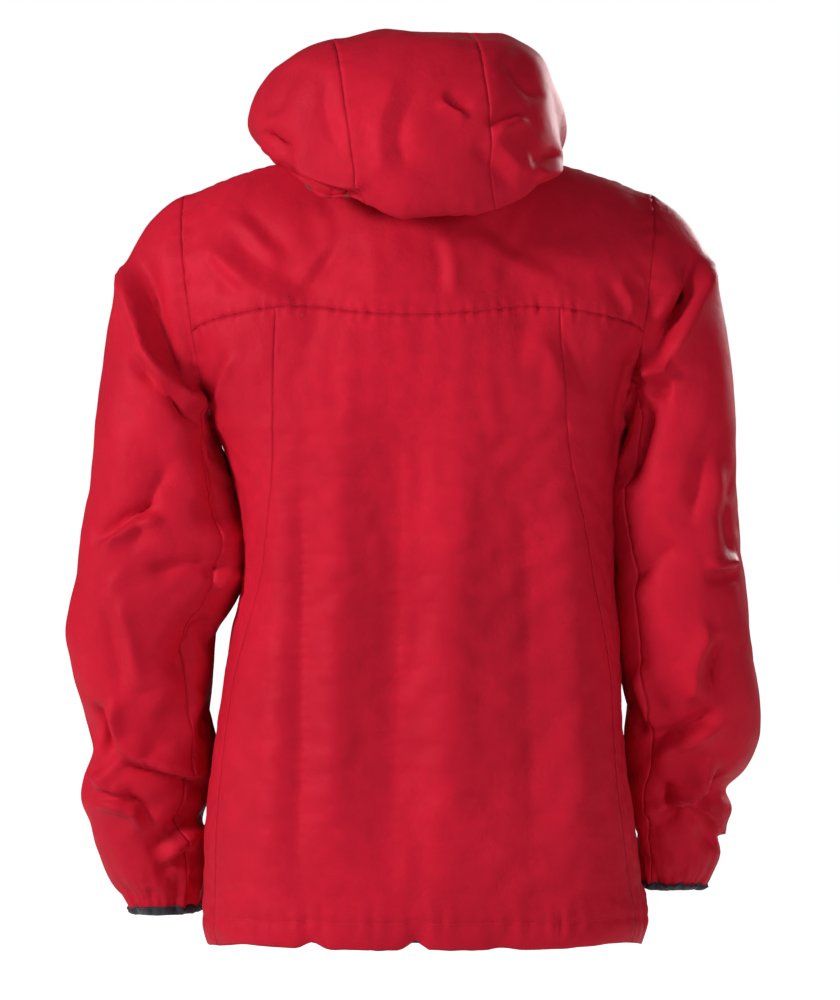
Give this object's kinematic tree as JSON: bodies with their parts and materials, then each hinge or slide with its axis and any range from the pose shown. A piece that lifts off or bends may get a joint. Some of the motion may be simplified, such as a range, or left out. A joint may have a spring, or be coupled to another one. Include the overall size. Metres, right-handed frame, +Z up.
{
  "type": "hardshell jacket",
  "caption": "Hooded waterproof shell jacket with a full front zip, zipped hand pockets, bound elastic cuffs and a drawcord hem, filled out as if worn.",
  "frame": {"origin": "hook point of the hanger loop, inside the back of the neck", "axes": "+Z up along the jacket, -Y out of the front, +X to the wearer's left"},
  "size_m": [0.66, 0.2924, 0.877],
  "materials": {
    "shell_fabric": "satin woven shell cloth",
    "shell_lining": "fine knit backer",
    "binding": "matt elastic binding",
    "zip_tape": "woven tape",
    "zip_coil": "moulded coil",
    "zip_metal": "satin coated die cast",
    "zip_pull": "moulded pull",
    "cord": "braided elastic cord",
    "cord_lock": "moulded nylon",
    "spring_steel": "drawn wire",
    "webbing": "narrow woven webbing",
    "label": "blank woven label",
    "seam_tape": "bonded tape"
  },
  "bodies": {
    "root": {"back_panel": "shell_fabric", "back_yoke": "shell_fabric", "care_label": "label", "chin_guard": "shell_lining", "collar": "shell_fabric", "collar_lining": "shell_lining", "cuff_binding_left": "binding", "cuff_binding_right": "binding", "front_panel_left": "shell_fabric", "front_panel_right": "shell_fabric", "front_zip_box": "zip_coil", "front_zip_pin": "zip_coil", "front_zip_tape_left": "zip_tape", "front_zip_tape_right": "zip_tape", "front_zip_teeth_left": "zip_coil", "front_zip_teeth_right": "zip_coil", "front_zip_top_stops": "zip_coil", "hanger_loop": "webbing", "hem_cord_lock_body_left": "cord_lock", "hem_cord_lock_body_right": "cord_lock", "hem_cord_lock_spring_left": "spring_steel", "hem_cord_lock_spring_right": "spring_steel", "hem_drawcord": "cord", "hem_facing": "shell_lining", "hood_centre_panel": "shell_fabric", "hood_edge_binding": "binding", "hood_side_left": "shell_fabric", "hood_side_right": "shell_fabric", "pocket_bag_left": "shell_lining", "pocket_bag_right": "shell_lining", "pocket_zip_stops_left": "zip_coil", "pocket_zip_stops_right": "zip_coil", "pocket_zip_tape_left": "zip_tape", "pocket_zip_tape_right": "zip_tape", "pocket_zip_teeth_left": "zip_coil", "pocket_zip_teeth_right": "zip_coil", "side_panel_left": "shell_fabric", "side_panel_right": "shell_fabric", "sleeve_under_left": "shell_fabric", "sleeve_under_right": "shell_fabric", "sleeve_upper_left": "shell_fabric", "sleeve_upper_right": "shell_fabric", "wind_flap": "shell_fabric", "yoke_seam_tape": "seam_tape"},
    "front_slider": {"front_zip_slider": "zip_metal"},
    "front_pull": {"front_zip_pull": "zip_pull"},
    "pocket_slider_left": {"pocket_zip_slider_left": "zip_metal"},
    "pocket_pull_left": {"pocket_zip_pull_left": "zip_pull"},
    "hem_plunger_left": {"hem_cord_lock_plunger_left": "cord_lock"},
    "pocket_slider_right": {"pocket_zip_slider_right": "zip_metal"},
    "pocket_pull_right": {"pocket_zip_pull_right": "zip_pull"},
    "hem_plunger_right": {"hem_cord_lock_plunger_right": "cord_lock"}
  },
  "joints": [
    {"name": "front_zip_slide", "type": "slide", "parent": "root", "child": "front_slider", "axis": [0, 0, -1], "range_m": [0, 0.733]},
    {"name": "front_pull_swing", "type": "hinge", "parent": "front_slider", "child": "front_pull", "pos_m": [0, -0.1849, 0.047], "axis": [-1, 0, 0], "range_deg": [0, 150]},
    {"name": "pocket_zip_slide_left", "type": "slide", "parent": "root", "child": "pocket_slider_left", "axis": [0, 0, -1], "range_m": [0, 0.145]},
    {"name": "pocket_pull_swing_left", "type": "hinge", "parent": "pocket_slider_left", "child": "pocket_pull_left", "pos_m": [0.078, -0.1849, -0.344], "axis": [-1, 0, 0], "range_deg": [0, 150]},
    {"name": "hem_lock_press_left", "type": "slide", "parent": "root", "child": "hem_plunger_left", "axis": [0, 0, -1], "range_m": [0, 0.0045], "stiffness_N_per_m": 600, "deforming": ["hem_cord_lock_spring_left"]},
    {"name": "pocket_zip_slide_right", "type": "slide", "parent": "root", "child": "pocket_slider_right", "axis": [0, 0, -1], "range_m": [0, 0.145]},
    {"name": "pocket_pull_swing_right", "type": "hinge", "parent": "pocket_slider_right", "child": "pocket_pull_right", "pos_m": [-0.078, -0.1849, -0.344], "axis": [-1, 0, 0], "range_deg": [0, 150]},
    {"name": "hem_lock_press_right", "type": "slide", "parent": "root", "child": "hem_plunger_right", "axis": [0, 0, -1], "range_m": [0, 0.0045], "stiffness_N_per_m": 600, "deforming": ["hem_cord_lock_spring_right"]}
  ]
}
